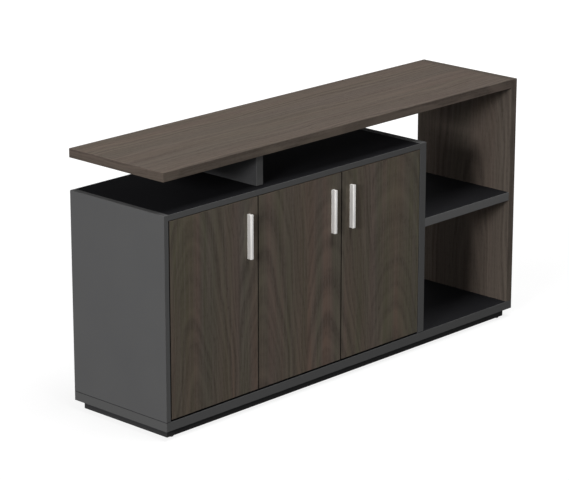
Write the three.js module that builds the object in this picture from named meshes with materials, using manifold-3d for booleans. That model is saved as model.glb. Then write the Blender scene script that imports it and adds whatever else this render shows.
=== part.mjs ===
// Office credenza: a cupboard with three flush doors and an open bay beside it. The worktop stands
// clear of the cupboard on a riser and meets a full-height end panel at the right.
// Millimetres. X runs left to right, Y front to back, Z up. The origin is on the floor, under the
// middle of the carcass.
import * as THREE from 'three';
import { ConvexGeometry } from 'three/addons/geometries/ConvexGeometry.js';
import { mergeVertices } from 'three/addons/utils/BufferGeometryUtils.js';
import Module from 'manifold-3d';

// Carcass
const overallWidth = 1600;
const overallDepth = 400;
const overallHeight = 818;
const cupboardWidth = 1150;
const slotHeight = 100; // open height between the cupboard and the worktop
const worktopThickness = 28;
const endPanelThickness = 28;
const baseThickness = 28;
const bayWallThickness = 28;
const bayShelfThickness = 28;
const riserThickness = 28;
const sideThickness = 18;
const cupboardTopThickness = 18;
const partitionThickness = 18;
const backThickness = 8;
const backInset = 10; // rear edge of the carcass to the back panel
const grooveDepth = 8; // how far the back panel is let into the boards round it
const riserFromLeft = 425; // left end to the middle of the riser
const riserSetback = 30;
const boardEdge = 0.8; // bevel of the edge band

// Plinth
const plinthHeight = 30; // floor to base
const plinthInset = 20;
const plinthBoard = 16;
const glideHeight = 3;
const glideRadius = 7.5;
const glideBevel = 1;
const glideNailRadius = 2;
const glideNailLength = 10;
const glideEndInset = 24; // end of a plinth rail to its glide

// Doors
const doorThickness = 18;
const doorSideGap = 3;
const doorBottomGap = 6;
const doorTopGap = 2;
const partitionClearance = 6; // partition's front edge behind the doors' inner face

// Handles: extruded bars, narrower at the foot so that fingers get behind the head
const handleLength = 138;
const handleWidth = 12;
const handleDepth = 17;
const handleCorner = 3;
const handleFootWidth = 9;
const handleEndBevel = 0.8;
const handleFromEdge = 40; // free edge of the door to the middle of the handle
const handleFromTop = 66; // top of the cupboard to the top of the handle
const handleScrewPitch = 96;
const screwRadius = 2;
const screwHeadRadius = 4.5;
const screwHeadHeight = 2.4;
const screwHeadBevel = 1.2;
const screwTipBevel = 0.6;
const screwGrip = 10; // screw length inside the handle
const threadRunout = 1; // bottom of the threaded hole beyond the screw's tip

// Concealed hinges. Distances run from the door's hinge edge and from its inner face.
const hingeFromEnd = 95; // end of the door to the middle of the hinge
const cupRadius = 17.2;
const cupWall = 2.2;
const cupDepth = 12;
const cupFloor = 1.2;
const cupFromEdge = 22.5;
const cupFlangeWidth = 36;
const cupFlangeHeight = 62;
const cupFlangeCorner = 14;
const cupFlangeThickness = 1.2;
const armPinFromEdge = 33.2;
const armPinDepth = 1.1;
const armPinRadius = 1.2;
const linkEndFromEdge = 12;
const linkEndDepth = 6;
const linkElbowFromEdge = 22;
const linkElbowDepth = 8.6;
const linkThickness = 2;
const linkHeight = 6;
const linkEyeRadius = 2.4;
const armWidth = 13;
const cheekRadius = 3;
const cheekThickness = 1.7;
const armFront = 4.5; // inner face of the door to the front of the arm's neck
const armLength = 60; // inner face of the door to the rear end of the arm
const armRise = 8.5;
const armStraight = 28; // rear end of the arm to the start of its crank
const neckDepth = 15; // front of the neck to the corner of its rear curve
const noseWidth = 7;
const noseDepth = 8;
const throatDepth = 8; // front of the neck to the corner of its front curve
const throatEnd = 17.5; // front of the neck to where it meets the plate
const plateThickness = 3.5;
const plateScrewDepth = 37; // inner face of the door to the plate's screws
const plateScrewPitch = 32;
const plateEndRadius = 7;

// Inner shelves and their pins
const innerShelfThickness = 18;
const innerShelfHeight = 352; // floor to the underside
const innerShelfSetback = 35;
const innerShelfRearGap = 2;
const innerShelfEndGap = 1;
const pinRadius = 2.5;
const pinHoleDepth = 8;
const pinHolePitch = 32;
const pinHolesEachSide = 2; // spare holes above and below the pin in use
const pinRowInset = 55; // front or rear edge of the carcass to a row of holes
const pinTongueLength = 9;
const pinTongueWidth = 7;
const pinTongueThickness = 4;
const pinBevel = 0.5;

// Fits
const clearance = 0.3;
const overrun = 1; // how far a through cut passes a face
const roundSteps = 10;
const cupSteps = 24;

// Places
const leftX = -overallWidth / 2;
const rightX = overallWidth / 2;
const frontY = -overallDepth / 2;
const backY = overallDepth / 2;
const baseTop = plinthHeight + baseThickness;
const worktopUnder = overallHeight - worktopThickness;
const cupboardTop = worktopUnder - slotHeight;
const cupboardTopUnder = cupboardTop - cupboardTopThickness;
const sideInner = leftX + sideThickness;
const bayWallRight = leftX + cupboardWidth;
const bayWallLeft = bayWallRight - bayWallThickness;
const endPanelInner = rightX - endPanelThickness;
const backRear = backY - backInset;
const backFront = backRear - backThickness;
const doorCount = 3;
const doorWidth = (bayWallLeft - sideInner - (doorCount + 1) * doorSideGap) / doorCount;
const doorBack = frontY + doorThickness;
const doorBottom = baseTop + doorBottomGap;
const doorTop = cupboardTopUnder - doorTopGap;
const doorLeft = (index) => sideInner + doorSideGap + index * (doorWidth + doorSideGap);
const partitionMiddle = doorLeft(1) - doorSideGap / 2;
const partitionLeft = partitionMiddle - partitionThickness / 2;
const partitionRight = partitionMiddle + partitionThickness / 2;
const pinRows = [frontY + pinRowInset, backY - pinRowInset];
const pinAxisHeight = innerShelfHeight - pinRadius;

// Finishes
const darkOak = new THREE.MeshStandardMaterial({ color: 0x5d544b, roughness: 0.6 });
const anthracite = new THREE.MeshStandardMaterial({ color: 0x555658, roughness: 0.65 });
const plinthBlack = new THREE.MeshStandardMaterial({ color: 0x2a2a2b, roughness: 0.7 });
const satinAluminium = new THREE.MeshStandardMaterial({ color: 0xbab8b4, roughness: 0.35, metalness: 1 });
const nickelSteel = new THREE.MeshStandardMaterial({ color: 0xb4b2ad, roughness: 0.3, metalness: 1 });
const blackNylon = new THREE.MeshStandardMaterial({ color: 0x1f1f20, roughness: 0.5 });

const wasm = await Module();
wasm.setup();

// A closed solid from a geometry, for joining and cutting
function solidFrom(geometry) {
  const bare = geometry.index ? geometry.clone() : geometry;
  bare.deleteAttribute('normal');
  bare.deleteAttribute('uv');
  const merged = mergeVertices(bare, 1e-5);
  return new wasm.Manifold(new wasm.Mesh({
    numProp: 3,
    vertProperties: new Float32Array(merged.attributes.position.array),
    triVerts: new Uint32Array(merged.index.array),
  }));
}

function geometryFrom(solid) {
  const mesh = solid.getMesh();
  const geometry = new THREE.BufferGeometry();
  geometry.setAttribute('position', new THREE.BufferAttribute(mesh.vertProperties, mesh.numProp));
  geometry.setIndex(new THREE.BufferAttribute(mesh.triVerts, 1));
  return geometry;
}

function combine(geometries, cuts = []) {
  let solid = geometries.map(solidFrom).reduce((sum, piece) => sum.add(piece));
  for (const cut of cuts) {
    solid = solid.subtract(solidFrom(cut));
  }
  return geometryFrom(solid);
}

// A block between three pairs of limits, with every edge bevelled
function block([x0, x1], [y0, y1], [z0, z1], bevel = 0) {
  const corners = [];
  for (const [x, inX] of [[x0, x0 + bevel], [x1, x1 - bevel]]) {
    for (const [y, inY] of [[y0, y0 + bevel], [y1, y1 - bevel]]) {
      for (const [z, inZ] of [[z0, z0 + bevel], [z1, z1 - bevel]]) {
        corners.push(new THREE.Vector3(x, inY, inZ));
        if (bevel > 0) {
          corners.push(new THREE.Vector3(inX, y, inZ), new THREE.Vector3(inX, inY, z));
        }
      }
    }
  }
  return new ConvexGeometry(corners);
}

// A round bar from one point, along the X, Y or Z axis
function bar(axis, [x, y, z], length, radius, steps = roundSteps) {
  const geometry = new THREE.CylinderGeometry(radius, radius, length, steps);
  geometry.translate(0, length / 2, 0);
  if (axis === 'x') {
    geometry.rotateZ(-Math.PI / 2);
  }
  if (axis === 'z') {
    geometry.rotateX(Math.PI / 2);
  }
  return geometry.translate(x, y, z);
}

// An outline with two round ends
function stadium([x0, y0], [x1, y1], radius) {
  const turn = Math.atan2(y1 - y0, x1 - x0);
  const shape = new THREE.Shape();
  shape.absarc(x1, y1, radius, turn - Math.PI / 2, turn + Math.PI / 2);
  shape.absarc(x0, y0, radius, turn + Math.PI / 2, turn + Math.PI * 1.5);
  shape.closePath();
  return shape;
}

// An outline in plan raised from one height to another
function raised(shape, z0, z1, curveSegments = 6) {
  const geometry = new THREE.ExtrudeGeometry(shape, { depth: z1 - z0, bevelEnabled: false, curveSegments });
  return geometry.translate(0, 0, z0);
}

const credenza = new THREE.Group();
credenza.name = 'office_credenza';

function place(parent, name, geometry, material) {
  const mesh = new THREE.Mesh(geometry, material);
  mesh.name = name;
  parent.add(mesh);
  return mesh;
}

// A board is cut in place, then hung on its own centre
function board(name, material, x, y, z, cuts = []) {
  const centre = new THREE.Vector3(x[0] + x[1], y[0] + y[1], z[0] + z[1]).multiplyScalar(0.5);
  const plain = block(x, y, z, boardEdge);
  const geometry = cuts.length ? combine([plain], cuts) : plain;
  geometry.translate(-centre.x, -centre.y, -centre.z);
  place(credenza, name, geometry, material).position.copy(centre);
}

// Blind holes for shelf pins, in two rows, drilled into a face in the given X direction
function pinHoles(faceX, direction) {
  const holes = [];
  const startX = direction > 0 ? faceX : faceX - pinHoleDepth;
  for (const y of pinRows) {
    for (let step = -pinHolesEachSide; step <= pinHolesEachSide; step += 1) {
      const z = pinAxisHeight + step * pinHolePitch;
      holes.push(bar('x', [startX, y, z], pinHoleDepth, pinRadius + clearance));
    }
  }
  return holes;
}

function addCarcass() {
  const fullDepth = [frontY, backY];
  const backX = [sideInner - grooveDepth, bayWallLeft + grooveDepth];
  const backZ = [baseTop - grooveDepth, cupboardTopUnder + grooveDepth];
  const back = block(backX, [backFront, backRear], backZ);
  const riserX = leftX + riserFromLeft;
  const bayMiddle = (baseTop + worktopUnder) / 2;
  const bayShelf = [bayMiddle - bayShelfThickness / 2, bayMiddle + bayShelfThickness / 2];

  board('top_slab', darkOak, [leftX, endPanelInner], fullDepth, [worktopUnder, overallHeight]);
  board('right_end_panel', darkOak, [endPanelInner, rightX], fullDepth, [baseTop, overallHeight]);
  board('bottom_panel', anthracite, [leftX, rightX], fullDepth, [plinthHeight, baseTop], [back]);
  board('left_side_panel', anthracite, [leftX, sideInner], fullDepth, [baseTop, cupboardTop],
    [back, ...pinHoles(sideInner, -1)]);
  board('right_divider', anthracite, [bayWallLeft, bayWallRight], fullDepth, [baseTop, cupboardTop],
    [back, ...pinHoles(bayWallLeft, 1)]);
  board('cabinet_top', anthracite, [sideInner, bayWallLeft], fullDepth, [cupboardTopUnder, cupboardTop],
    [back]);
  board('middle_divider', anthracite, [partitionLeft, partitionRight],
    [doorBack + partitionClearance, backFront], [baseTop, cupboardTopUnder],
    [...pinHoles(partitionLeft, 1), ...pinHoles(partitionRight, -1)]);
  place(credenza, 'cabinet_back', back, anthracite);
  board('riser_panel', anthracite, [riserX - riserThickness / 2, riserX + riserThickness / 2],
    [frontY + riserSetback, backY - riserSetback], [cupboardTop, worktopUnder]);
  board('bay_shelf', anthracite, [bayWallRight, endPanelInner], fullDepth, bayShelf);
}

function addPlinth() {
  const outerX = [leftX + plinthInset, rightX - plinthInset];
  const outerY = [frontY + plinthInset, backY - plinthInset];
  const betweenY = [outerY[0] + plinthBoard, outerY[1] - plinthBoard];
  const height = [glideHeight, plinthHeight];
  const railY = { front: outerY[0] + plinthBoard / 2, rear: outerY[1] - plinthBoard / 2 };
  const endX = { left: outerX[0] + glideEndInset, right: outerX[1] - glideEndInset };
  const nailHole = (x, y) => bar('z', [x, y, glideHeight], glideNailLength + clearance,
    glideNailRadius + clearance);

  const glideProfile = [
    [0, 0],
    [glideRadius - glideBevel, 0],
    [glideRadius, glideBevel],
    [glideRadius, glideHeight],
    [glideNailRadius, glideHeight],
    [glideNailRadius, glideHeight + glideNailLength - glideNailRadius],
    [0, glideHeight + glideNailLength],
  ];
  const glideShape = glideProfile.map(([radius, z]) => new THREE.Vector2(radius, z));
  const addGlide = (name, x, y) => {
    const geometry = new THREE.LatheGeometry(glideShape, roundSteps).rotateX(Math.PI / 2);
    place(credenza, name, geometry, blackNylon).position.set(x, y, 0);
  };

  for (const [end, y] of Object.entries(railY)) {
    const rail = end === 'front' ? [outerY[0], betweenY[0]] : [betweenY[1], outerY[1]];
    const holes = Object.values(endX).map((x) => nailHole(x, y));
    board(`plinth_${end}`, plinthBlack, outerX, rail, height, holes);
    for (const [hand, x] of Object.entries(endX)) {
      addGlide(`glide_${end}_${hand}`, x, y);
    }
  }
  board('plinth_left', plinthBlack, [outerX[0], outerX[0] + plinthBoard], betweenY, height);
  board('plinth_right', plinthBlack, [outerX[1] - plinthBoard, outerX[1]], betweenY, height);
  board('plinth_brace', plinthBlack, [-plinthBoard / 2, plinthBoard / 2], betweenY, height, [nailHole(0, 0)]);
  addGlide('glide_centre', 0, 0);
}

function addInnerShelf(hand, leftWall, rightWall) {
  const depth = [frontY + innerShelfSetback, backFront - innerShelfRearGap];
  const height = [innerShelfHeight, innerShelfHeight + innerShelfThickness];
  board(`${hand}_inner_shelf`, anthracite, [leftWall + innerShelfEndGap, rightWall - innerShelfEndGap],
    depth, height);

  // The pin's peg sits in the board and its flat tongue carries the shelf
  const pegLength = pinHoleDepth - clearance;
  const tongue = block([0, pinTongueLength], [-pinTongueWidth / 2, pinTongueWidth / 2],
    [pinRadius - pinTongueThickness, pinRadius], pinBevel);
  const peg = bar('x', [-pegLength, 0, 0], pegLength + pinTongueLength / 2, pinRadius);
  const pinGeometry = combine([tongue, peg]);
  for (const [wall, x] of [['left', leftWall], ['right', rightWall]]) {
    for (const [row, y] of [['front', pinRows[0]], ['rear', pinRows[1]]]) {
      const pin = place(credenza, `${hand}_shelf_pin_${row}_${wall}`, pinGeometry, nickelSteel);
      pin.position.set(x, y, pinAxisHeight);
      pin.rotation.z = wall === 'left' ? 0 : Math.PI;
    }
  }
}

// Handle in its own frame: foot on the plane Y = 0, length along Z from 0
function handleGeometry() {
  const footHalf = handleFootWidth / 2;
  const arcX = handleWidth / 2 - handleCorner;
  const arcY = handleCorner - handleDepth;
  // each flank runs from the foot's edge to where it touches the head's round corner
  const reach = Math.hypot(footHalf - arcX, arcY);
  const touch = Math.atan2(-arcY, footHalf - arcX) - Math.acos(handleCorner / reach);
  const section = new THREE.Shape();
  section.moveTo(-footHalf, 0);
  section.lineTo(footHalf, 0);
  section.absarc(arcX, arcY, handleCorner, touch, -Math.PI / 2, true);
  section.absarc(-arcX, arcY, handleCorner, -Math.PI / 2, -Math.PI - touch, true);
  section.closePath();
  const extrusion = new THREE.ExtrudeGeometry(section, {
    depth: handleLength - 2 * handleEndBevel,
    bevelThickness: handleEndBevel,
    bevelSize: handleEndBevel,
    bevelOffset: -handleEndBevel,
    bevelSegments: 1,
    curveSegments: 4,
  });
  extrusion.translate(0, 0, handleEndBevel);
  const threadLength = screwGrip + threadRunout;
  const threads = [-1, 1].map((side) => {
    const z = handleLength / 2 + side * handleScrewPitch / 2;
    return bar('y', [0, -threadLength, z], threadLength, screwRadius + clearance);
  });
  return combine([extrusion], threads);
}

// Screw along Y: the head lies on the plane Y = 0 and the shank runs towards the front
function handleScrewGeometry() {
  const tip = -doorThickness - screwGrip;
  const profile = [
    [0, tip],
    [screwRadius - screwTipBevel, tip],
    [screwRadius, tip + screwTipBevel],
    [screwRadius, 0],
    [screwHeadRadius, 0],
    [screwHeadRadius, screwHeadHeight - screwHeadBevel],
    [screwHeadRadius - screwHeadBevel, screwHeadHeight],
    [0, screwHeadHeight],
  ];
  return new THREE.LatheGeometry(profile.map(([radius, y]) => new THREE.Vector2(radius, y)), roundSteps);
}

// Hinge pieces share a frame: X in from the door's hinge edge, Y back from its inner face
function hingeCupGeometry() {
  const pot = bar('y', [cupFromEdge, -cupDepth, 0], cupDepth + cupFlangeThickness / 2, cupRadius, cupSteps);
  const reachZ = cupFlangeHeight / 2;
  const reachX = cupFlangeWidth / 2;
  const corner = cupFlangeCorner;
  const outline = new THREE.Shape();
  outline.absarc(reachZ - corner, reachX - corner, corner, 0, Math.PI / 2);
  outline.absarc(corner - reachZ, reachX - corner, corner, Math.PI / 2, Math.PI);
  outline.absarc(corner - reachZ, corner - reachX, corner, Math.PI, Math.PI * 1.5);
  outline.absarc(reachZ - corner, corner - reachX, corner, Math.PI * 1.5, Math.PI * 2);
  const flange = raised(outline, 0, cupFlangeThickness, 5);
  flange.applyMatrix4(new THREE.Matrix4().makeBasis(
    new THREE.Vector3(0, 0, 1),
    new THREE.Vector3(1, 0, 0),
    new THREE.Vector3(0, 1, 0),
  ));
  flange.translate(cupFromEdge, 0, 0);
  const cavityDepth = cupDepth - cupFloor + cupFlangeThickness + overrun;
  const cavity = bar('y', [cupFromEdge, cupFloor - cupDepth, 0], cavityDepth, cupRadius - cupWall, cupSteps);
  return combine([pot, flange], [cavity]);
}

// Cranked link from the arm's pin into the cup, drawn about the arm's pin
function hingeLinkGeometry() {
  const inFrame = (fromEdge, depth) => [fromEdge - armPinFromEdge, armPinDepth - depth];
  const elbow = inFrame(linkElbowFromEdge, linkElbowDepth);
  const end = inFrame(linkEndFromEdge, linkEndDepth);
  const z = [-linkHeight / 2, linkHeight / 2];
  const eye = bar('z', [0, 0, z[0]], linkHeight, linkEyeRadius);
  const near = raised(stadium([0, 0], elbow, linkThickness / 2), ...z, 4);
  const far = raised(stadium(elbow, end, linkThickness / 2), ...z, 4);
  const bore = bar('z', [0, 0, z[0] - overrun], linkHeight + 2 * overrun, armPinRadius + clearance);
  return combine([eye, near, far], [bore]);
}

// Arm with its mounting plate in one piece; plateX is the face of the board that carries it
function hingeArmGeometry(plateX) {
  const plateTop = plateX + plateThickness;
  const armTop = plateTop + armRise;
  const noseX = armPinFromEdge + cheekRadius;
  const buried = plateTop - plateThickness / 2;
  const neck = new THREE.Shape();
  neck.moveTo(buried, armLength);
  neck.lineTo(armTop, armLength);
  neck.lineTo(armTop, armLength - armStraight);
  neck.quadraticCurveTo(noseX, armFront + neckDepth, noseX, armFront + noseDepth);
  neck.lineTo(noseX, armFront);
  neck.lineTo(noseX - noseWidth, armFront);
  neck.quadraticCurveTo(plateTop, armFront + throatDepth, buried, armFront + throatEnd);
  const pieces = [raised(neck, -armWidth / 2, armWidth / 2)];

  // Two cheeks hold the pin, with the link between them
  const slotHalf = linkHeight / 2 + clearance;
  const cheek = stadium([armPinFromEdge, -armPinDepth], [armPinFromEdge, armFront], cheekRadius);
  pieces.push(raised(cheek, slotHalf, slotHalf + cheekThickness, 5));
  pieces.push(raised(cheek, -slotHalf - cheekThickness, -slotHalf, 5));
  const pinHalf = slotHalf + cheekThickness / 2;
  pieces.push(bar('z', [armPinFromEdge, -armPinDepth, -pinHalf], 2 * pinHalf, armPinRadius));

  // Plate with a wing for each of its two screws
  const toPlate = new THREE.Matrix4().makeBasis(
    new THREE.Vector3(0, 1, 0),
    new THREE.Vector3(0, 0, 1),
    new THREE.Vector3(1, 0, 0),
  );
  const wingReach = plateScrewPitch / 2;
  const wings = stadium([plateScrewDepth, -wingReach], [plateScrewDepth, wingReach], plateEndRadius);
  const spine = stadium([armFront + 20, 0], [armLength - 2, 0], plateEndRadius + 1);
  for (const outline of [wings, spine]) {
    pieces.push(raised(outline, 0, plateThickness, 5).applyMatrix4(toPlate).translate(plateX, 0, 0));
  }
  return combine(pieces);
}

function addDoor({ name, index, hingedRight, carrierX }) {
  const left = doorLeft(index);
  const right = left + doorWidth;
  const hingeEdge = hingedRight ? right : left;
  const inward = hingedRight ? -1 : 1;
  const hingeHeights = { lower: doorBottom + hingeFromEnd, upper: doorTop - hingeFromEnd };
  const handleX = (hingedRight ? left : right) - inward * handleFromEdge;
  const handleBottom = cupboardTop - handleFromTop - handleLength;
  const screwHeights = [-1, 1].map((side) => handleBottom + handleLength / 2 + side * handleScrewPitch / 2);

  const bores = Object.values(hingeHeights).map((z) => bar('y',
    [hingeEdge + inward * cupFromEdge, doorBack - cupDepth - clearance, z],
    cupDepth + clearance, cupRadius + clearance, cupSteps));
  const holes = screwHeights.map((z) => bar('y', [handleX, frontY, z], doorThickness,
    screwRadius + clearance));
  board(`door_${name}`, darkOak, [left, right], [frontY, doorBack], [doorBottom, doorTop],
    [...bores, ...holes]);

  const handle = place(credenza, `handle_${name}`, handleGeometry(), satinAluminium);
  handle.position.set(handleX, frontY, handleBottom);
  screwHeights.forEach((z, order) => {
    const screw = place(credenza, `handle_${name}_screw_${order === 0 ? 'lower' : 'upper'}`,
      handleScrewGeometry(), nickelSteel);
    screw.position.set(handleX, doorBack, z);
  });

  const plateX = inward * (carrierX - hingeEdge);
  for (const [level, z] of Object.entries(hingeHeights)) {
    const hinge = new THREE.Group();
    hinge.position.set(hingeEdge, doorBack, z);
    hinge.scale.x = inward;
    place(hinge, `hinge_cup_${name}_${level}`, hingeCupGeometry(), nickelSteel);
    place(hinge, `hinge_arm_${name}_${level}`, hingeArmGeometry(plateX), nickelSteel);
    const link = place(hinge, `hinge_link_${name}_${level}`, hingeLinkGeometry(), nickelSteel);
    link.position.set(armPinFromEdge, -armPinDepth, 0);
    credenza.add(hinge);
  }
}

addCarcass();
addPlinth();
addInnerShelf('left', sideInner, partitionLeft);
addInnerShelf('right', partitionRight, bayWallLeft);
addDoor({ name: 'left', index: 0, hingedRight: false, carrierX: sideInner });
addDoor({ name: 'middle', index: 1, hingedRight: false, carrierX: partitionRight });
addDoor({ name: 'right', index: 2, hingedRight: true, carrierX: bayWallLeft });

export default credenza;
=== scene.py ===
# Office credenza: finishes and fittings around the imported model.
# Metres, Z up, the front looks towards -Y.
import math

import bpy
from mathutils import Matrix, Vector


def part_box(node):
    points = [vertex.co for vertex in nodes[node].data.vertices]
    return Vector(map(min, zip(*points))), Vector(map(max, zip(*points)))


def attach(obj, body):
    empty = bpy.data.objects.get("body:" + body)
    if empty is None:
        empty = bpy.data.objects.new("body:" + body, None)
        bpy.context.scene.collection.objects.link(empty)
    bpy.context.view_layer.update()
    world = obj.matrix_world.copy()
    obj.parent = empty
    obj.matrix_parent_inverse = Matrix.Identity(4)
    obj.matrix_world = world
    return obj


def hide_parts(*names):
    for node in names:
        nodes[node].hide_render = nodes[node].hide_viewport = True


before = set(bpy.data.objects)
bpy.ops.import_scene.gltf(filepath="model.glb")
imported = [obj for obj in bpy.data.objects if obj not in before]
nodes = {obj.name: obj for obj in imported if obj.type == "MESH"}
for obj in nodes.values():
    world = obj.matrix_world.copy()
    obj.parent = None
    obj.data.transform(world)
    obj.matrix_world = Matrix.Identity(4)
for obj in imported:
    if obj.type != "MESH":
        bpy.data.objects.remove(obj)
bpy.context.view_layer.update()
scene = bpy.context.scene
print("frame loaded:", len(nodes), "pieces")


# Helpers for materials

def colour(code):
    # sRGB hex to linear
    parts = [int(code[i:i + 2], 16) / 255 for i in (1, 3, 5)]
    return [p / 12.92 if p <= 0.04045 else ((p + 0.055) / 1.055) ** 2.4 for p in parts] + [1]


def perMetre(*sizes):
    # how often a pattern of these sizes repeats in a metre, axis by axis
    return [1 / size for size in sizes]


def addNode(tree, kind, inputs=None, **settings):
    node = tree.nodes.new(kind)
    for key, value in settings.items():
        setattr(node, key, value)
    for socket, value in (inputs or {}).items():
        if isinstance(value, bpy.types.NodeSocket):
            tree.links.new(value, node.inputs[socket])
        else:
            node.inputs[socket].default_value = value
    return node


def newFinish(name, **shader):
    # a material with one shader; plain values go straight to the shader's own sockets
    finish = bpy.data.materials.new(name)
    finish.use_nodes = True
    tree = finish.node_tree
    tree.nodes.clear()
    surface = addNode(tree, "ShaderNodeBsdfPrincipled", {k.replace("_", " "): v for k, v in shader.items()})
    addNode(tree, "ShaderNodeOutputMaterial", {"Surface": surface.outputs[0]})
    return finish, tree, surface


def looksAlong(tree, coords, axis, least):
    # 1 where the surface is turned along the axis, either way
    facing = addNode(tree, "ShaderNodeSeparateXYZ", {0: coords.outputs["Normal"]})
    size = addNode(tree, "ShaderNodeMath", {0: facing.outputs[axis]}, operation="ABSOLUTE")
    turned = addNode(tree, "ShaderNodeMath", {0: size.outputs[0], 1: least}, operation="GREATER_THAN")
    return turned.outputs[0]


def dress(finish, *names):
    for name in names:
        slots = nodes[name].data.materials
        slots.clear()
        slots.append(finish)


# Helpers for shapes

def loft(name, rings, finish, smoothAngle=35):
    # skin over rings of equal count, flat caps on the first and the last
    count = len(rings[0])
    points = [tuple(p) for ring in rings for p in ring]
    faces = [tuple(reversed(range(count)))]
    for r in range(len(rings) - 1):
        for i in range(count):
            j = (i + 1) % count
            faces.append((r * count + i, r * count + j, (r + 1) * count + j, (r + 1) * count + i))
    faces.append(tuple(range(len(points) - count, len(points))))
    mesh = bpy.data.meshes.new(name)
    mesh.from_pydata(points, [], faces)
    mesh.validate()
    mesh.shade_smooth()
    mesh.set_sharp_from_angle(angle=math.radians(smoothAngle))
    mesh.materials.append(finish)
    return mesh


def inset(outline, depth, sharpest=0.4):
    # a closed outline moved inwards by depth, mitred at its corners up to the sharpest
    moved = []
    for i, here in enumerate(outline):
        before = (here - outline[i - 1]).normalized()
        after = (outline[(i + 1) % len(outline)] - here).normalized()
        normal = Vector((-before.y - after.y, before.x + after.x)).normalized()
        side = Vector((-before.y, before.x))
        moved.append(here + normal * depth / max(sharpest, normal.dot(side)))
    return moved


def quarterRound(radius, steps):
    # depth and rise of each ring round a rounded end
    turns = [math.pi / 2 * k / steps for k in range(steps + 1)]
    return [(radius * (1 - math.sin(turn)), radius * (1 - math.cos(turn))) for turn in turns]


def disc(reach, height, steps=48):
    # a ring of points; reach is a radius, or a function that gives one for each angle
    ring = []
    for k in range(steps):
        turn = 2 * math.pi * k / steps
        radius = reach(turn) if callable(reach) else reach
        ring.append(Vector((radius * math.cos(turn), radius * math.sin(turn), height)))
    return ring


def firstQuarter(turn, least=1e-6):
    # cosine and sine folded into the first quarter, never zero
    return max(abs(math.cos(turn)), least), max(abs(math.sin(turn)), least)


def seat(point, direction):
    return Matrix.Translation(point) @ Vector(direction).to_track_quat("Z", "Y").to_matrix().to_4x4()


def setDown(name, mesh, matrix, body, slot, *standsFor):
    piece = bpy.data.objects.new(name, mesh)
    scene.collection.objects.link(piece)
    piece.matrix_world = matrix
    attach(piece, body)
    if standsFor:
        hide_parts(*standsFor)
    return piece


# Dark oak laminate: decor paper under melamine, pressed with an open-pore plate.
# The eye sees a matt grey-brown ground in warmer, greyer and greener bands, arched figure and dark pores.
oak = {
    "warm": "#6e5d53", "grey": "#5c5955", "green": "#5e5b4a",
    "light": "#71675f", "dark": "#49423d", "pore": "#352f2b",
    "edge": "#26221f",   # near black, painted shade: the doors' side edges take it in full so the gaps between doors read dark, the ends take a share
    "greenShare": 0.8, "ringShare": 0.55, "streakShare": 0.5, "poreShare": 0.5,
    "coarsePore": 0.7,   # how dark a coarse pore is beside a fine one
    "paintedEndShade": 0.16,   # painted shade: how much of the dark edge tone darkens the boards' ends, which face the lamps less
    "edgeTurn": 0.6,   # a surface turned this far along the board is an edge
    "ringWidth": 0.011, "ringDepth": 0.03, "ringSpan": (0.3, 0.75),
    "crowdSpan": (0.35, 0.65), "crowdLow": 0.3,   # pores crowd where a ring is dark
    "warpWidth": 1 / 7, "warpLength": 1 / 2.2, "warpReach": 0.09,   # how the rings wander
    "sheetLean": 0.043, "sheetStep": 0.04,   # how rings shift and tone lightens from sheet to sheet of decor
    "poreHeight": 0.0002, "poreBump": 0.5, "roughness": 0.7, "poreRoughness": 0.82, "gloss": 0.02,
}
# What runs along the grain, and the levels of its noise between which it fades in.
oakGrain = {
    # warmer and greyer strips, as in slip-matched veneer, under greener bands
    "strip": {"width": 0.09, "length": 2.5, "detail": 2, "roughness": 0.6, "span": (0.35, 0.65)},
    "band": {"width": 0.045, "length": 1.1, "detail": 1.5, "roughness": 0.5, "span": (0.35, 0.65)},
    "streak": {"width": 0.006, "length": 0.32, "detail": 3, "roughness": 0.5, "span": (0.42, 0.75)},
    # real pores are 0.3 mm wide, drawn coarser to show, with a finer set for a close look
    "pore": {"width": 0.0022, "length": 0.05, "detail": 2, "roughness": 0.5, "span": (0.58, 0.7)},
    "finePore": {"width": 0.0008, "length": 0.02, "detail": 1, "roughness": 0.5, "span": (0.56, 0.66)},
}


def grainLay(tree, coords, along, endAlong, onEnd):
    # X across the grain, Y along it; on the board's ends the edge band's grain runs along the band
    through = "XYZ".replace(along, "").replace(endAlong, "")
    place = addNode(tree, "ShaderNodeSeparateXYZ", {0: coords.outputs["Object"]})
    face = addNode(tree, "ShaderNodeCombineXYZ", {
        "X": place.outputs[endAlong], "Y": place.outputs[along], "Z": place.outputs[through]})
    end = addNode(tree, "ShaderNodeCombineXYZ", {
        "X": place.outputs[through], "Y": place.outputs[endAlong], "Z": place.outputs[along]})
    lay = addNode(tree, "ShaderNodeMix", {0: onEnd, 4: face.outputs[0], 5: end.outputs[0]},
                  data_type="VECTOR")
    return lay.outputs[1]


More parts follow.
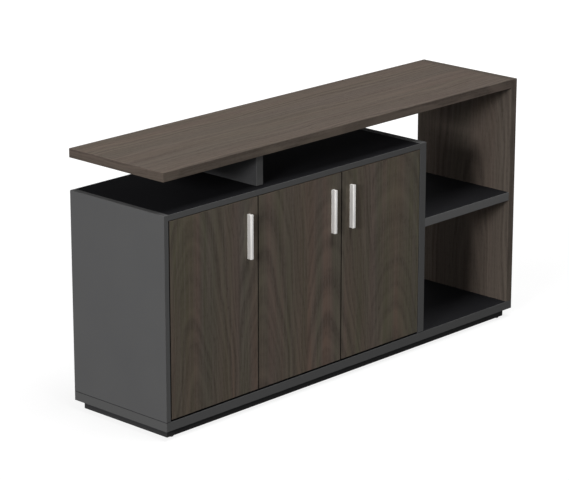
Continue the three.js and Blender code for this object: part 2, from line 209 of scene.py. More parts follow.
def growthRings(tree, lay, tilt, sheetWidth, sheetStart):
    # arched figure: rings about a pith line that leans through each sheet of decor
    place = addNode(tree, "ShaderNodeSeparateXYZ", {0: lay})
    fromStart = addNode(tree, "ShaderNodeMath", {0: place.outputs["X"], 1: sheetStart}, operation="SUBTRACT")
    count = addNode(tree, "ShaderNodeMath", {0: fromStart.outputs[0], 1: sheetWidth}, operation="DIVIDE")
    sheet = addNode(tree, "ShaderNodeMath", {0: count.outputs[0]}, operation="FLOOR")
    share = addNode(tree, "ShaderNodeMath", {0: count.outputs[0]}, operation="FRACT")
    offPith = addNode(tree, "ShaderNodeMath", {0: share.outputs[0], 1: sheetWidth, 2: -sheetWidth / 2},
                      operation="MULTIPLY_ADD")
    warpAt = addNode(tree, "ShaderNodeVectorMath", {
        0: lay, 1: perMetre(oak["warpWidth"], oak["warpLength"], oak["warpWidth"])}, operation="MULTIPLY")
    warp = addNode(tree, "ShaderNodeTexNoise", {"Vector": warpAt.outputs[0], "Scale": 1, "Detail": 2})
    sway = addNode(tree, "ShaderNodeMath", {
        0: warp.outputs["Fac"], 1: oak["warpReach"], 2: offPith.outputs[0]}, operation="MULTIPLY_ADD")
    lean = addNode(tree, "ShaderNodeMath", {0: place.outputs["Y"], 1: tilt, 2: oak["ringDepth"]},
                   operation="MULTIPLY_ADD")
    sheetLean = addNode(tree, "ShaderNodeMath", {
        0: sheet.outputs[0], 1: oak["sheetLean"], 2: lean.outputs[0]}, operation="MULTIPLY_ADD")
    ringAt = addNode(tree, "ShaderNodeCombineXYZ", {"X": sway.outputs[0], "Y": sheetLean.outputs[0]})
    radius = addNode(tree, "ShaderNodeVectorMath", {0: ringAt.outputs[0]}, operation="LENGTH")
    ringCount = addNode(tree, "ShaderNodeMath", {0: radius.outputs["Value"], 1: oak["ringWidth"]},
                        operation="DIVIDE")
    ring = addNode(tree, "ShaderNodeTexNoise", {"W": ringCount.outputs[0], "Scale": 1, "Detail": 1},
                   noise_dimensions="1D")
    return ring.outputs["Fac"], sheet.outputs[0]


def oakLaminate(name, along, endAlong, tilt, tint, sheetWidth=10.0, sheetStart=-5.0, onDoors=False):
    # tint: how far the bands stray from the mean tone; all but the doors are cut from one wide sheet
    finish, tree, surface = newFinish(name, Specular_IOR_Level=oak["gloss"])
    coords = addNode(tree, "ShaderNodeTexCoord")
    onEnd = looksAlong(tree, coords, along, oak["edgeTurn"])
    lay = grainLay(tree, coords, along, endAlong, onEnd)
    ring, sheet = growthRings(tree, lay, tilt, sheetWidth, sheetStart)

    limits = {
        "strip": (0.5 - tint / 2, 0.5 + tint / 2), "band": (0, oak["greenShare"] * tint),
        "streak": (0, oak["streakShare"]), "pore": (0, oak["coarsePore"]), "finePore": (0, 1),
    }
    shares = {}
    for feature, (low, high) in limits.items():
        grain = oakGrain[feature]
        grainAt = addNode(tree, "ShaderNodeVectorMath", {
            0: lay, 1: perMetre(grain["width"], grain["length"], grain["width"])}, operation="MULTIPLY")
        noise = addNode(tree, "ShaderNodeTexNoise", {
            "Vector": grainAt.outputs[0], "Scale": 1, "Detail": grain["detail"],
            "Roughness": grain["roughness"]})
        share = addNode(tree, "ShaderNodeMapRange", {
            "Value": noise.outputs["Fac"], "From Min": grain["span"][0], "From Max": grain["span"][1],
            "To Min": low, "To Max": high})
        shares[feature] = share.outputs[0]

    ringShare = addNode(tree, "ShaderNodeMapRange", {
        "Value": ring, "From Min": oak["ringSpan"][0], "From Max": oak["ringSpan"][1],
        "To Max": oak["ringShare"]})
    crowd = addNode(tree, "ShaderNodeMapRange", {
        "Value": ring, "From Min": oak["crowdSpan"][0], "From Max": oak["crowdSpan"][1],
        "To Min": oak["crowdLow"], "To Max": 1})
    anyPore = addNode(tree, "ShaderNodeMath", {0: shares["pore"], 1: shares["finePore"]},
                      operation="MAXIMUM")
    pore = addNode(tree, "ShaderNodeMath", {0: anyPore.outputs[0], 1: crowd.outputs[0]},
                   operation="MULTIPLY")
    poreShare = addNode(tree, "ShaderNodeMath", {0: pore.outputs[0], 1: oak["poreShare"]},
                        operation="MULTIPLY")
    paintedEndShade = addNode(tree, "ShaderNodeMath", {0: onEnd, 1: oak["paintedEndShade"]}, operation="MULTIPLY")

    # three ground tones, then rings, streaks, pores, and painted shade on the board's ends over them
    layers = {
        "grey": shares["strip"], "green": shares["band"], "dark": ringShare.outputs[0],
        "light": shares["streak"], "pore": poreShare.outputs[0], "edge": paintedEndShade.outputs[0],
    }
    tone = colour(oak["warm"])
    for shade, share in layers.items():
        mixed = addNode(tree, "ShaderNodeMix", {0: share, 6: tone, 7: colour(oak[shade])}, data_type="RGBA")
        tone = mixed.outputs[2]
    if onDoors:
        lightness = addNode(tree, "ShaderNodeMath", {0: sheet, 1: oak["sheetStep"], 2: 1 - oak["sheetStep"]},
                            operation="MULTIPLY_ADD")
        stepped = addNode(tree, "ShaderNodeVectorMath", {0: tone, "Scale": lightness.outputs[0]},
                          operation="SCALE")
        # the doors' side edges are drawn near black, painted shade for the gaps between the doors
        onSide = looksAlong(tree, coords, endAlong, oak["edgeTurn"])
        doorSidesPaintedShade = addNode(tree, "ShaderNodeMix", {0: onSide, 6: stepped.outputs[0], 7: colour(oak["edge"])},
                        data_type="RGBA")
        tone = doorSidesPaintedShade.outputs[2]
    tree.links.new(tone, surface.inputs["Base Color"])

    rough = addNode(tree, "ShaderNodeMapRange", {
        "Value": pore.outputs[0], "To Min": oak["roughness"], "To Max": oak["poreRoughness"]})
    tree.links.new(rough.outputs[0], surface.inputs["Roughness"])
    bump = addNode(tree, "ShaderNodeBump", {
        "Height": pore.outputs[0], "Strength": oak["poreBump"], "Distance": oak["poreHeight"]}, invert=True)
    tree.links.new(bump.outputs[0], surface.inputs["Normal"])
    return finish


# Anthracite melamine on chipboard, pressed with a fine pearl plate, ABS band on the edges.
# The eye sees an even dark grey with a faint grit and slightly smoother edges; the riser's and the flat
# boards' faces are darker, painted shade.
melamine = {
    # face, cloud and edge band: the upright tones are the melamine's own; the others hold painted shade and
    # painted light
    "upright": ("#5c5c5c", "#575758", "#585858"),
    # the riser: face and cloud darker than the upright boards, painted shade from the worktop above
    "riser": ("#444445", "#404041", "#5a5a5a"),
    # flat boards: near-black face and cloud, painted shade; the band is the melamine's own
    "flat": ("#202022", "#1c1c1e", "#585858"),
    # the bay shelf: near-black face as painted shade, a lighter band as painted light
    "shelf": ("#202022", "#1c1c1e", "#676767"),
    "gloss": 0.02, "topGloss": 0.004,   # the cupboard's top lies in the slot and shows almost no sheen
    "faceTurn": 0.9,   # a surface turned less than this through the board is its edge band
    "cloudSize": 0.14, "gritSize": 0.0016,   # real grit is 0.3 mm, drawn coarser to show
    "gritSpan": (0.3, 0.7), "gritShade": (0.9, 1.1), "gritHeight": 0.0001, "gritBump": 0.35,
    "roughness": 0.75, "bandRoughness": 0.68,
    "joint": "#262627", "jointLine": 0.0022,   # the line where a board stands on the base, drawn coarser
}


def anthraciteMelamine(name, through, gloss, faceTone, cloudTone, bandTone, standsAt=None):
    # through: the axis across the board's thickness; standsAt: the height of the joint line at its foot
    finish, tree, surface = newFinish(name, Specular_IOR_Level=gloss)
    coords = addNode(tree, "ShaderNodeTexCoord")
    onFace = looksAlong(tree, coords, through, melamine["faceTurn"])
    cloud = addNode(tree, "ShaderNodeTexNoise", {
        "Vector": coords.outputs["Object"], "Scale": 1 / melamine["cloudSize"], "Detail": 2})
    grit = addNode(tree, "ShaderNodeTexNoise", {
        "Vector": coords.outputs["Object"], "Scale": 1 / melamine["gritSize"], "Detail": 2})
    face = addNode(tree, "ShaderNodeMix", {
        0: cloud.outputs["Fac"], 6: colour(faceTone), 7: colour(cloudTone)}, data_type="RGBA")
    speck = addNode(tree, "ShaderNodeMapRange", {
        "Value": grit.outputs["Fac"],
        "From Min": melamine["gritSpan"][0], "From Max": melamine["gritSpan"][1],
        "To Min": melamine["gritShade"][0], "To Max": melamine["gritShade"][1]})
    gritty = addNode(tree, "ShaderNodeVectorMath", {0: face.outputs[2], "Scale": speck.outputs[0]},
                     operation="SCALE")
    banded = addNode(tree, "ShaderNodeMix", {0: onFace, 6: colour(bandTone), 7: gritty.outputs[0]},
                     data_type="RGBA")
    tone = banded.outputs[2]
    if standsAt is not None:
        place = addNode(tree, "ShaderNodeSeparateXYZ", {0: coords.outputs["Object"]})
        onJoint = addNode(tree, "ShaderNodeMath", {
            0: place.outputs["Z"], 1: standsAt + melamine["jointLine"]}, operation="LESS_THAN")
        jointed = addNode(tree, "ShaderNodeMix", {
            0: onJoint.outputs[0], 6: tone, 7: colour(melamine["joint"])}, data_type="RGBA")
        tone = jointed.outputs[2]
    tree.links.new(tone, surface.inputs["Base Color"])
    rough = addNode(tree, "ShaderNodeMapRange", {
        "Value": onFace, "To Min": melamine["bandRoughness"], "To Max": melamine["roughness"]})
    tree.links.new(rough.outputs[0], surface.inputs["Roughness"])
    bump = addNode(tree, "ShaderNodeBump", {
        "Height": grit.outputs["Fac"], "Strength": melamine["gritBump"], "Distance": melamine["gritHeight"]})
    tree.links.new(bump.outputs[0], surface.inputs["Normal"])
    return finish


# Lacquered hardboard for the cupboard's back.
# The eye sees felted wood fibre through a thin grey lacquer.
hardboard = {
    "lacquer": "#4d4d4e", "fibre": "#5a5958", "gloss": 0.25, "roughness": 0.55,
    "fibreWidth": 0.003, "fibreLength": 0.02, "fibreCurl": 1.2,   # drawn coarser than real fibres to show
    "fibreHeight": 0.0001, "fibreBump": 0.3,
}


def lacqueredHardboard():
    finish, tree, surface = newFinish("lacquered hardboard", Specular_IOR_Level=hardboard["gloss"],
                                      Roughness=hardboard["roughness"])
    coords = addNode(tree, "ShaderNodeTexCoord")
    fibreAt = addNode(tree, "ShaderNodeVectorMath", {
        0: coords.outputs["Object"],
        1: perMetre(hardboard["fibreLength"], hardboard["fibreWidth"], hardboard["fibreWidth"])},
        operation="MULTIPLY")
    fibre = addNode(tree, "ShaderNodeTexNoise", {
        "Vector": fibreAt.outputs[0], "Scale": 1, "Detail": 3, "Distortion": hardboard["fibreCurl"]})
    tone = addNode(tree, "ShaderNodeMix", {
        0: fibre.outputs["Fac"], 6: colour(hardboard["lacquer"]), 7: colour(hardboard["fibre"])},
        data_type="RGBA")
    tree.links.new(tone.outputs[2], surface.inputs["Base Color"])
    bump = addNode(tree, "ShaderNodeBump", {
        "Height": fibre.outputs["Fac"], "Strength": hardboard["fibreBump"],
        "Distance": hardboard["fibreHeight"]})
    tree.links.new(bump.outputs[0], surface.inputs["Normal"])
    return finish


# Plinth rails: black melamine on chipboard.
# The eye sees a matt black, scuffed a little paler near the floor by shoes and mops.
plinthCoat = {
    "black": "#343435", "scuff": "#41403f", "gloss": 0.02, "roughness": (0.5, 0.75),
    "scuffFoot": 0.003, "scuffHeight": 0.012, "scuffLength": 0.05, "scuffThickness": 1 / 180,
}


def blackMelamine():
    finish, tree, surface = newFinish("black melamine", Specular_IOR_Level=plinthCoat["gloss"])
    coords = addNode(tree, "ShaderNodeTexCoord")
    place = addNode(tree, "ShaderNodeSeparateXYZ", {0: coords.outputs["Object"]})
    low = addNode(tree, "ShaderNodeMapRange", {
        "Value": place.outputs["Z"], "From Min": plinthCoat["scuffFoot"],
        "From Max": plinthCoat["scuffFoot"] + plinthCoat["scuffHeight"], "To Min": 1, "To Max": 0})
    markAt = addNode(tree, "ShaderNodeVectorMath", {
        0: coords.outputs["Object"],
        1: perMetre(plinthCoat["scuffLength"], plinthCoat["scuffLength"], plinthCoat["scuffThickness"])},
        operation="MULTIPLY")
    mark = addNode(tree, "ShaderNodeTexNoise", {"Vector": markAt.outputs[0], "Scale": 1, "Detail": 4})
    worn = addNode(tree, "ShaderNodeMath", {0: mark.outputs["Fac"], 1: low.outputs[0]}, operation="MULTIPLY")
    tone = addNode(tree, "ShaderNodeMix", {
        0: worn.outputs[0], 6: colour(plinthCoat["black"]), 7: colour(plinthCoat["scuff"])},
        data_type="RGBA")
    tree.links.new(tone.outputs[2], surface.inputs["Base Color"])
    rough = addNode(tree, "ShaderNodeMapRange", {
        "Value": mark.outputs["Fac"],
        "To Min": plinthCoat["roughness"][0], "To Max": plinthCoat["roughness"][1]})
    tree.links.new(rough.outputs[0], surface.inputs["Roughness"])
    return finish


# Pulls: extruded aluminium, satin brushed along its length and anodised clear.
# The eye sees a soft pale sheen with fine upright lines; the matt oxide hides most of the metal's mirror.
anodised = {
    "metal": "#efedea", "line": "#d2d0cd", "metallic": 0.35, "roughness": (0.5, 0.62),
    "lineWidth": 0.0007, "lineLength": 0.06,   # lines are really 0.05 mm apart, drawn coarser to show
    "lineSpan": (0.35, 0.65), "lineHeight": 0.0001, "lineBump": 0.15,
}


def brushedAluminium():
    finish, tree, surface = newFinish("anodised aluminium, brushed", Metallic=anodised["metallic"])
    coords = addNode(tree, "ShaderNodeTexCoord")
    lineAt = addNode(tree, "ShaderNodeVectorMath", {
        0: coords.outputs["Object"],
        1: perMetre(anodised["lineWidth"], anodised["lineWidth"], anodised["lineLength"])},
        operation="MULTIPLY")
    lineNoise = addNode(tree, "ShaderNodeTexNoise", {"Vector": lineAt.outputs[0], "Scale": 1, "Detail": 3})
    line = addNode(tree, "ShaderNodeMapRange", {
        "Value": lineNoise.outputs["Fac"], "From Min": anodised["lineSpan"][0],
        "From Max": anodised["lineSpan"][1]})
    tone = addNode(tree, "ShaderNodeMix", {
        0: line.outputs[0], 6: colour(anodised["metal"]), 7: colour(anodised["line"])}, data_type="RGBA")
    tree.links.new(tone.outputs[2], surface.inputs["Base Color"])
    rough = addNode(tree, "ShaderNodeMapRange", {
        "Value": line.outputs[0], "To Min": anodised["roughness"][0], "To Max": anodised["roughness"][1]})
    tree.links.new(rough.outputs[0], surface.inputs["Roughness"])
    bump = addNode(tree, "ShaderNodeBump", {
        "Height": line.outputs[0], "Strength": anodised["lineBump"], "Distance": anodised["lineHeight"]})
    tree.links.new(bump.outputs[0], surface.inputs["Normal"])
    return finish


# Hinges, screws and shelf pins: pressed steel, nickel plated.
# The eye sees a bright, slightly warm metal with faint clouds from the plating bath.
nickel = {"bright": "#c2beb6", "dull": "#a8a49c", "cloudSize": 0.012, "roughness": (0.2, 0.42)}


def nickelSteel():
    finish, tree, surface = newFinish("nickel-plated steel", Metallic=1)
    coords = addNode(tree, "ShaderNodeTexCoord")
    cloud = addNode(tree, "ShaderNodeTexNoise", {
        "Vector": coords.outputs["Object"], "Scale": 1 / nickel["cloudSize"], "Detail": 3})
    tone = addNode(tree, "ShaderNodeMix", {
        0: cloud.outputs["Fac"], 6: colour(nickel["bright"]), 7: colour(nickel["dull"])}, data_type="RGBA")
    tree.links.new(tone.outputs[2], surface.inputs["Base Color"])
    rough = addNode(tree, "ShaderNodeMapRange", {
        "Value": cloud.outputs["Fac"], "To Min": nickel["roughness"][0], "To Max": nickel["roughness"][1]})
    tree.links.new(rough.outputs[0], surface.inputs["Roughness"])
    return finish


# Glides, door stops and cover caps: moulded nylon.
# The eye sees a dull plastic with the fine grain of a spark-eroded mould.
nylon = {
    "glide": "#232324", "cap": "#4a4a4b", "shade": (0.85, 1.15), "roughness": (0.42, 0.6),
    "grainSize": 0.0012,   # real grain is 0.1 mm, drawn coarser to show
    "grainHeight": 0.0001, "grainBump": 0.2,
}


def mouldedNylon(name, base):
    finish, tree, surface = newFinish(name)
    coords = addNode(tree, "ShaderNodeTexCoord")
    grain = addNode(tree, "ShaderNodeTexNoise", {
        "Vector": coords.outputs["Object"], "Scale": 1 / nylon["grainSize"], "Detail": 2})
    shade = addNode(tree, "ShaderNodeMapRange", {
        "Value": grain.outputs["Fac"], "To Min": nylon["shade"][0], "To Max": nylon["shade"][1]})
    tone = addNode(tree, "ShaderNodeVectorMath", {0: colour(base)[:3], "Scale": shade.outputs[0]},
                   operation="SCALE")
    tree.links.new(tone.outputs[0], surface.inputs["Base Color"])
    rough = addNode(tree, "ShaderNodeMapRange", {
        "Value": grain.outputs["Fac"], "To Min": nylon["roughness"][0], "To Max": nylon["roughness"][1]})
    tree.links.new(rough.outputs[0], surface.inputs["Roughness"])
    bump = addNode(tree, "ShaderNodeBump", {
        "Height": grain.outputs["Fac"], "Strength": nylon["grainBump"], "Distance": nylon["grainHeight"]})
    tree.links.new(bump.outputs[0], surface.inputs["Normal"])
    return finish


# The doors' decor runs on from door to door, in sheets narrower than a door: shares of the doors' pitch
doorDecor = {"sheetShare": 0.8, "startShare": 0.02}
doorBoxes = {name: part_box("door_" + name) for name in ("left", "middle", "right")}
doorPitch = doorBoxes["middle"][0].x - doorBoxes["left"][0].x
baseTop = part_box("bottom_panel")[1].z

worktopOak = oakLaminate("oak laminate, grain lengthwise", along="X", endAlong="Y", tilt=0.02, tint=0.3)
doorOak = oakLaminate("oak laminate, grain upright", along="Z", endAlong="X", tilt=0.16, tint=1.0,
                      sheetWidth=doorDecor["sheetShare"] * doorPitch,
                      sheetStart=doorBoxes["left"][0].x - doorDecor["startShare"] * doorPitch, onDoors=True)
endPanelOak = oakLaminate("oak laminate, end panel", along="Z", endAlong="Y", tilt=0.1, tint=0.2)
uprightMelamine = anthraciteMelamine("anthracite melamine, upright board", "X", melamine["gloss"],
                                     *melamine["upright"], standsAt=baseTop)
# the riser's darker face is painted shade, not a different board
riserMelaminePaintedShade = anthraciteMelamine("anthracite melamine, riser, painted shade", "X", melamine["gloss"], *melamine["riser"])
# the base's near-black face is painted shade under the bay shelf
baseMelaminePaintedShade = anthraciteMelamine("anthracite melamine, base, painted shade", "Z", melamine["gloss"], *melamine["flat"])
# the bay shelf's face is painted shade and its lighter band painted light
shelfMelaminePaintedShadeAndLight = anthraciteMelamine("anthracite melamine, bay shelf, painted shade and light", "Z", melamine["gloss"],
                                   *melamine["shelf"])
# the cupboard top's near-black face is painted shade under the worktop
topMelaminePaintedShade = anthraciteMelamine("anthracite melamine, cupboard top, painted shade", "Z", melamine["topGloss"],
                                 *melamine["flat"])
innerMelamine = anthraciteMelamine("anthracite melamine, inner shelf", "Z", melamine["gloss"],
                                   *melamine["upright"])
backBoard = lacqueredHardboard()
plinthBlack = blackMelamine()
pullMetal = brushedAluminium()
fittingMetal = nickelSteel()
glideNylon = mouldedNylon("moulded nylon, black", nylon["glide"])
capNylon = mouldedNylon("moulded nylon, grey", nylon["cap"])

dress(worktopOak, "top_slab")
dress(doorOak, "door_left", "door_middle", "door_right")
dress(endPanelOak, "right_end_panel")
dress(uprightMelamine, "left_side_panel", "right_divider", "middle_divider")
dress(riserMelaminePaintedShade, "riser_panel")
dress(baseMelaminePaintedShade, "bottom_panel")
dress(shelfMelaminePaintedShadeAndLight, "bay_shelf")
dress(topMelaminePaintedShade, "cabinet_top")
dress(innerMelamine, "left_inner_shelf", "right_inner_shelf")
dress(backBoard, "cabinet_back")
dress(plinthBlack, *[n for n in nodes if n.startswith("plinth_")])
dress(glideNylon, *[n for n in nodes if n.startswith("glide_")])
dress(fittingMetal, *[n for n in nodes if n.startswith("hinge_") or "_shelf_pin_" in n or "_screw_" in n])
dress(pullMetal, "handle_left", "handle_middle", "handle_right")
print("finishes on:", len(bpy.data.materials))


# Pulls: extruded bars, narrower at the foot so that fingers get behind the head
pull = {"footWidth": 0.009, "corner": 0.003, "endRound": 0.0008,
        "endSteps": 5, "cornerSteps": 8, "flankSteps": 6}


def pullSection(width, depth):
    # half outline on the +X side: the flank from the foot to where it touches the round corner
    foot = Vector((pull["footWidth"] / 2, 0))
    middle = Vector((width / 2 - pull["corner"], pull["corner"] - depth))
    toFoot = foot - middle
    touch = math.atan2(toFoot.y, toFoot.x) - math.acos(pull["corner"] / toFoot.length)
    side = []
    for k in range(pull["cornerSteps"] + 1):
        turn = touch - (touch + math.pi / 2) * k / pull["cornerSteps"]
        side.append(middle + pull["corner"] * Vector((math.cos(turn), math.sin(turn))))
    side = [foot.lerp(side[0], k / pull["flankSteps"]) for k in range(pull["flankSteps"])] + side
    return [Vector((-p.x, p.y)) for p in side] + side[::-1]


for door in doorBoxes:
    low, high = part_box("handle_" + door)
    section = pullSection(high.x - low.x, high.y - low.y)
    lowEnd = quarterRound(pull["endRound"], pull["endSteps"])
    ends = lowEnd + [(depth, high.z - low.z - rise) for depth, rise in reversed(lowEnd)]
    rings = [[Vector((p.x, p.y, rise)) for p in inset(section, depth)] for depth, rise in ends]
    mesh = loft("pull_" + door, rings, pullMetal)
    at = Matrix.Translation(((low.x + high.x) / 2, high.y, low.z))
    setDown("pull_" + door, mesh, at, door + "_leaf", "pull", "handle_" + door)
print("pulls made")


# Screws: domed heads with a pressed cross recess that tapers to a small round tip
crossScrew = {
    # shares of the head's radius and rise
    "dome": ((1, 0), (1, 0.35), (0.95, 0.62), (0.86, 0.86), (0.76, 1)),
    "arm": 0.62, "slope": math.tan(math.radians(15)), "taper": 0.72, "depth": 0.62,
    "tip": 0.16, "tipDepth": 0.72,
    "pointWidth": 0.6, "pointLength": 0.4,   # shares of the shank's radius
}


def crossReach(length):
    half = length * crossScrew["slope"]

    def reach(turn):
        c, s = firstQuarter(turn)
        return max(min(length / c, half / s), min(length / s, half / c))
    return reach


def domed(profile, radius, rise):
    return [disc(radius * out, rise * up) for out, up in profile]


def screwMesh(name, head, rise, shank=0.0, length=0.0):
    # along local Z: the underside of the head lies on Z = 0
    rings = []
    if length:
        rings += [disc(shank * crossScrew["pointWidth"], -length),
                  disc(shank, -length + shank * crossScrew["pointLength"]), disc(shank, 0)]
    rings += domed(crossScrew["dome"], head, rise)
    recess = head * crossScrew["arm"]
    rings += [disc(crossReach(recess), rise),
              disc(crossReach(recess * crossScrew["taper"]), rise * (1 - crossScrew["depth"])),
              disc(recess * crossScrew["tip"], rise * (1 - crossScrew["tipDepth"]))]
    return loft(name, rings, fittingMetal, smoothAngle=30)


pullScrew = {"head": 0.0045, "shank": 0.002}
doorBack = doorBoxes["left"][1].y
levelNames = ("lower", "upper")
for door in doorBoxes:
    for level in levelNames:
        node = f"handle_{door}_screw_{level}"
        low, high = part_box(node)
        mesh = screwMesh("pullScrew", pullScrew["head"], high.y - doorBack,
                         pullScrew["shank"], doorBack - low.y)
        at = seat(((low.x + high.x) / 2, doorBack, (low.z + high.z) / 2), (0, 1, 0))
        setDown(f"pull_screw_{door}_{level}", mesh, at, door + "_leaf", "fitting", node)
print("pull screws made")


# Hinge cups: drawn steel pots with a flange, held by two screws each
cup = {
    "pot": 0.0172, "wall": 0.0022, "floor": 0.0012, "flange": 0.0012, "corner": 0.014,
    "potRound": 0.0015, "flangeRound": 0.0004, "rimRound": 0.0008,
    "roundMiddle": 0.3,   # how far the middle of a rounded edge is cut back, as a share of its radius
    "screwPitch": 0.048, "screwHead": 0.0036, "screwRise": 0.0016,
}


def flangeReach(halfWidth, halfHeight, corner):
    # a plate with round corners
    def reach(turn):
        c, s = firstQuarter(turn)
        if halfWidth / c * s <= halfHeight - corner:
            return halfWidth / c
        if halfHeight / s * c <= halfWidth - corner:
            return halfHeight / s
        x, y = halfWidth - corner, halfHeight - corner
        along = x * c + y * s
        return along + math.sqrt(max(0.0, along * along - x * x - y * y + corner * corner))
    return reach


def cupMesh(halfWidth, halfHeight, depth):
    # from the outside of the pot's floor up to the flange, over the rim and down to the floor inside
    pot, inner = cup["pot"], cup["pot"] - cup["wall"]
    top, edge = cup["flange"], cup["flangeRound"]
    floor = cup["floor"] - depth
    potRound, potMiddle = cup["potRound"], cup["potRound"] * cup["roundMiddle"]
    rimRound, rimMiddle = cup["rimRound"], cup["rimRound"] * cup["roundMiddle"]
    outline = flangeReach(halfWidth, halfHeight, cup["corner"])
    trimmed = flangeReach(halfWidth - edge, halfHeight - edge, cup["corner"] - edge)
    rings = [
        disc(pot - potRound, -depth), disc(pot - potMiddle, -depth + potMiddle),
        disc(pot, -depth + potRound), disc(pot, 0),
        disc(outline, 0), disc(outline, top - edge), disc(trimmed, top),
        disc(inner + rimRound, top), disc(inner + rimMiddle, top - rimMiddle), disc(inner, top - rimRound),
        disc(inner, floor + potRound), disc(inner - potMiddle, floor + potMiddle),
        disc(inner - potRound, floor),
    ]
    return loft("hingeCup", rings, fittingMetal, smoothAngle=40)


cupScrew = screwMesh("cupScrew", cup["screwHead"], cup["screwRise"])
screwPair = ((-1, "below"), (1, "above"))


def setCup(door, level):
    node = f"hinge_cup_{door}_{level}"
    low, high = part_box(node)
    middle = Vector(((low.x + high.x) / 2, doorBack, (low.z + high.z) / 2))
    mesh = cupMesh((high.x - low.x) / 2, (high.z - low.z) / 2, doorBack - low.y)
    setDown(f"cup_{door}_{level}", mesh, seat(middle, (0, 1, 0)), door + "_leaf", "fitting", node)
    for way, name in screwPair:
        at = middle + Vector((0, cup["flange"], way * cup["screwPitch"] / 2))
        setDown(f"cup_screw_{door}_{level}_{name}", cupScrew, seat(at, (0, 1, 0)), door + "_leaf", "fitting")


# Hinge arms: two screws through the plate, two adjusters on the arm. Depths run from the doors' inner face.
hingeArm = {
    "plate": 0.0035, "plateScrewDepth": 0.037, "plateScrewPitch": 0.032, "plateScrewHead": 0.0036,
    "rise": 0.012, "adjusterDepth": {"front": 0.040, "rear": 0.053},
    "adjusterHead": {"front": 0.0028, "rear": 0.0034}, "headRise": 0.0012,
}
plateScrew = screwMesh("plateScrew", hingeArm["plateScrewHead"], hingeArm["headRise"])
adjusters = {name: screwMesh("armAdjuster", head, hingeArm["headRise"])
             for name, head in hingeArm["adjusterHead"].items()}


def setArmScrews(door, level):
    low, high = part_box(f"hinge_arm_{door}_{level}")
    inward = -1 if door == "right" else 1
    carrier = high.x if door == "right" else low.x
    height = (low.z + high.z) / 2
    for way, name in screwPair:
        at = (carrier + inward * hingeArm["plate"], doorBack + hingeArm["plateScrewDepth"],
              height + way * hingeArm["plateScrewPitch"] / 2)
        setDown(f"plate_screw_{door}_{level}_{name}", plateScrew, seat(at, (inward, 0, 0)),
                "carcass", "fitting")
    for name, adjuster in adjusters.items():
        at = (carrier + inward * hingeArm["rise"], doorBack + hingeArm["adjusterDepth"][name], height)
        setDown(f"adjuster_{door}_{level}_{name}", adjuster, seat(at, (inward, 0, 0)), "carcass", "fitting")


for door in doorBoxes:
    for level in levelNames:
        setCup(door, level)
        setArmScrews(door, level)
print("hinge cups and screws made")


# Cover caps over the knock-down fittings, where no one looks first: insides and undersides
cap = {
    "radius": 0.0085, "rise": 0.0014, "fromEnd": 0.034, "fromMiddle": 0.15,
    "riserShare": 0.7,   # the riser is low, so its caps sit nearer to its ends
    # shares of the radius and the rise
    "dome": ((1, 0), (1, 0.4), (0.93, 0.75), (0.8, 0.93), (0.55, 1), (0.2, 1)),
}
coverCap = loft("coverCap", domed(cap["dome"], cap["radius"], cap["rise"]), capNylon, smoothAngle=40)
sidePanel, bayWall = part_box("left_side_panel"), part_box("right_divider")
partition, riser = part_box("middle_divider"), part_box("riser_panel")
cupboardTop, bayShelf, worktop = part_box("cabinet_top"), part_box("bay_shelf"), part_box("top_slab")
lowHeight = sidePanel[0].z + cap["fromEnd"]
riserEnd = cap["fromEnd"] * cap["riserShare"]
toRight, toLeft, down = (1, 0, 0), (-1, 0, 0), (0, 0, -1)
capPlaces = {
    "side": [(sidePanel[1].x, lowHeight, toRight)],
    "partition": [(partition[0].x, lowHeight, toLeft)],
    "wall": [(bayWall[0].x, lowHeight, toLeft)],
    "riser": [(riser[1].x, riser[0].z + riserEnd, toRight), (riser[1].x, riser[1].z - riserEnd, toRight)],
    "top": [(cupboardTop[0].x + cap["fromEnd"], cupboardTop[0].z, down),
            (cupboardTop[1].x - cap["fromEnd"], cupboardTop[0].z, down)],
    "shelf": [(bayShelf[0].x + cap["fromEnd"], bayShelf[0].z, down),
              (bayShelf[1].x - cap["fromEnd"], bayShelf[0].z, down)],
    "worktop": [(worktop[1].x - cap["fromEnd"], worktop[0].z, down)],
}
for board, places in capPlaces.items():
    for k, (x, z, direction) in enumerate(places):
        for hand, y in (("front", -cap["fromMiddle"]), ("rear", cap["fromMiddle"])):
            setDown(f"cap_{board}_{k}_{hand}", coverCap, seat((x, y, z), direction), "carcass", "anthracite")
print("cover caps made")


# Door stops: nylon blocks under the cupboard's top, one at the free edge of each door
stop = {"width": 0.03, "depth": 0.011, "drop": 0.014, "corner": 0.003, "cornerSteps": 6, "edge": 0.0012,
        "edgeSteps": 4, "gap": 0.0003, "fromFree": 0.045, "screwHead": 0.003, "screwRise": 0.001}


def stopMesh():
    # hangs from Z = 0
    outline = []
    for qx, qy, start in ((1, 1, 0), (-1, 1, 90), (-1, -1, 180), (1, -1, 270)):
        corner = Vector((qx * (stop["width"] / 2 - stop["corner"]),
                         qy * (stop["depth"] / 2 - stop["corner"])))
        for k in range(stop["cornerSteps"] + 1):
            turn = math.radians(start + 90 * k / stop["cornerSteps"])
            outline.append(corner + stop["corner"] * Vector((math.cos(turn), math.sin(turn))))
    levels = [(depth, rise - stop["drop"]) for depth, rise in quarterRound(stop["edge"], stop["edgeSteps"])]
    rings = [[Vector((p.x, p.y, z)) for p in inset(outline, depth)] for depth, z in levels + [(0, 0)]]
    return loft("doorStop", rings, glideNylon, smoothAngle=40)


stopBlock = stopMesh()
stopScrew = screwMesh("stopScrew", stop["screwHead"], stop["screwRise"])
for door, (low, high) in doorBoxes.items():
    x = low.x + stop["fromFree"] if door == "right" else high.x - stop["fromFree"]
    y = doorBack + stop["gap"] + stop["depth"] / 2
    z = cupboardTop[0].z
    setDown("stop_" + door, stopBlock, Matrix.Translation((x, y, z)), "carcass", "glide")
    setDown("stop_screw_" + door, stopScrew, seat((x, y, z - stop["drop"]), down), "carcass", "fitting")
print("door stops made")


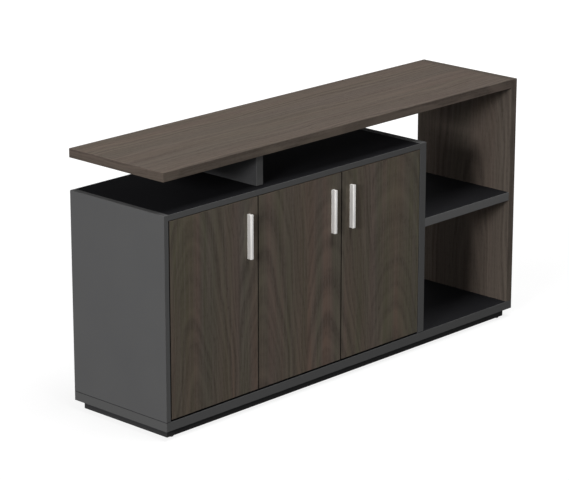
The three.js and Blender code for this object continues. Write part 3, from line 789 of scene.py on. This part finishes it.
# Studio: two lamps at the left, a weak one in front, one overhead towards the front and one behind,
# on a floor and in surroundings that are white to the eye
lamps = {
    "left": {"place": (-10.48, 0.92, 3.67), "size": (4.0, 2.0), "power": 255},
    "corner": {"place": (-10.06, -3.27, 3.48), "size": (2.2, 1.8), "power": 640},
    "front": {"place": (-4.2, -7.9, 1.4), "size": (2.0, 1.5), "power": 112},
    "top": {"place": (0, -2.3, 10.0), "size": (4.0, 4.0), "power": 695},
    "rear": {"place": (7.0, 7.5, 1.3), "size": (6.0, 1.6), "power": 600},
}
studio = {
    "aim": (0, 0, 0.45), "ambient": 0.02, "floorReach": 40,
    "floorBounce": 0.06, "floorGlow": 0.84, "floorShade": 0.2, "shadowReach": (1.2, 3.5),
}


def aimed(place, aim):
    turn = (Vector(aim) - Vector(place)).to_track_quat("-Z", "Y")
    return Matrix.Translation(place) @ turn.to_matrix().to_4x4()


def softbox(name, place, size, power):
    lamp = bpy.data.lights.new(name, "AREA")
    lamp.shape = "RECTANGLE"
    lamp.size, lamp.size_y = size
    lamp.energy = power
    box = bpy.data.objects.new(name, lamp)
    box.matrix_world = aimed(place, studio["aim"])
    box.visible_camera = False
    scene.collection.objects.link(box)
    return box


for name, lamp in lamps.items():
    box = softbox(name + "Light", **lamp)
    box.visible_glossy = name != "rear"   # it faces the camera, and would leave a glare on flat boards


def seenByEye(tree):
    # 1 for what the camera sees straight, mirrored or through glass, 0 for light on its way to a surface
    path = addNode(tree, "ShaderNodeLightPath")
    seen = addNode(tree, "ShaderNodeMath", {
        0: path.outputs["Is Camera Ray"], 1: path.outputs["Is Glossy Ray"]}, operation="MAXIMUM")
    through = addNode(tree, "ShaderNodeMath", {0: seen.outputs[0], 1: path.outputs["Is Transmission Ray"]},
                      operation="MAXIMUM")
    return through.outputs[0]


def backdropPaper():
    # glows to white but keeps the shadow near the object, and throws little light back up
    paper = bpy.data.materials.new("white backdrop paper")
    paper.use_nodes = True
    tree = paper.node_tree
    tree.nodes.clear()
    bounce = addNode(tree, "ShaderNodeBsdfDiffuse", {"Color": [studio["floorBounce"]] * 3 + [1]})
    shade = addNode(tree, "ShaderNodeBsdfDiffuse", {"Color": [studio["floorShade"]] * 3 + [1]})
    coords = addNode(tree, "ShaderNodeTexCoord")
    away = addNode(tree, "ShaderNodeVectorMath", {0: coords.outputs["Object"]}, operation="LENGTH")
    clear = addNode(tree, "ShaderNodeMapRange", {
        "Value": away.outputs["Value"], "From Min": studio["shadowReach"][0],
        "From Max": studio["shadowReach"][1], "To Min": studio["floorGlow"], "To Max": 1})
    glow = addNode(tree, "ShaderNodeEmission", {"Color": (1, 1, 1, 1), "Strength": clear.outputs[0]})
    white = addNode(tree, "ShaderNodeAddShader", {0: shade.outputs[0], 1: glow.outputs[0]})
    mixed = addNode(tree, "ShaderNodeMixShader", {
        0: seenByEye(tree), 1: bounce.outputs[0], 2: white.outputs[0]})
    addNode(tree, "ShaderNodeOutputMaterial", {"Surface": mixed.outputs[0]})
    return paper


def studioWorld():
    # white to the eye, dim as a light
    world = bpy.data.worlds.new("studio")
    world.use_nodes = True
    tree = world.node_tree
    tree.nodes.clear()
    dim = addNode(tree, "ShaderNodeBackground", {"Color": (1, 1, 1, 1), "Strength": studio["ambient"]})
    bright = addNode(tree, "ShaderNodeBackground", {"Color": (1, 1, 1, 1), "Strength": 1})
    mixed = addNode(tree, "ShaderNodeMixShader", {
        0: seenByEye(tree), 1: dim.outputs[0], 2: bright.outputs[0]})
    addNode(tree, "ShaderNodeOutputWorld", {"Surface": mixed.outputs[0]})
    return world


floorMesh = bpy.data.meshes.new("floor")
reach = studio["floorReach"]
floorMesh.from_pydata([(-reach, -reach, 0), (reach, -reach, 0), (reach, reach, 0), (-reach, reach, 0)], [],
                      [(0, 1, 2, 3)])
floorMesh.materials.append(backdropPaper())
floor = bpy.data.objects.new("floor", floorMesh)
scene.collection.objects.link(floor)
scene.world = studioWorld()

photoCamera = {"place": (-5.7836, -5.4205, 2.8150), "aim": (-0.5180, -0.4073, 0.6011), "lens": 166.61,
               "sensor": 36, "clipEnd": 200}
eye = bpy.data.cameras.new("photoCamera")
eye.lens = photoCamera["lens"]
eye.sensor_width = photoCamera["sensor"]
eye.clip_end = photoCamera["clipEnd"]
camera = bpy.data.objects.new("photoCamera", eye)
camera.matrix_world = aimed(photoCamera["place"], photoCamera["aim"])
scene.collection.objects.link(camera)
scene.camera = camera
scene.view_settings.view_transform = "Standard"
print("studio set")
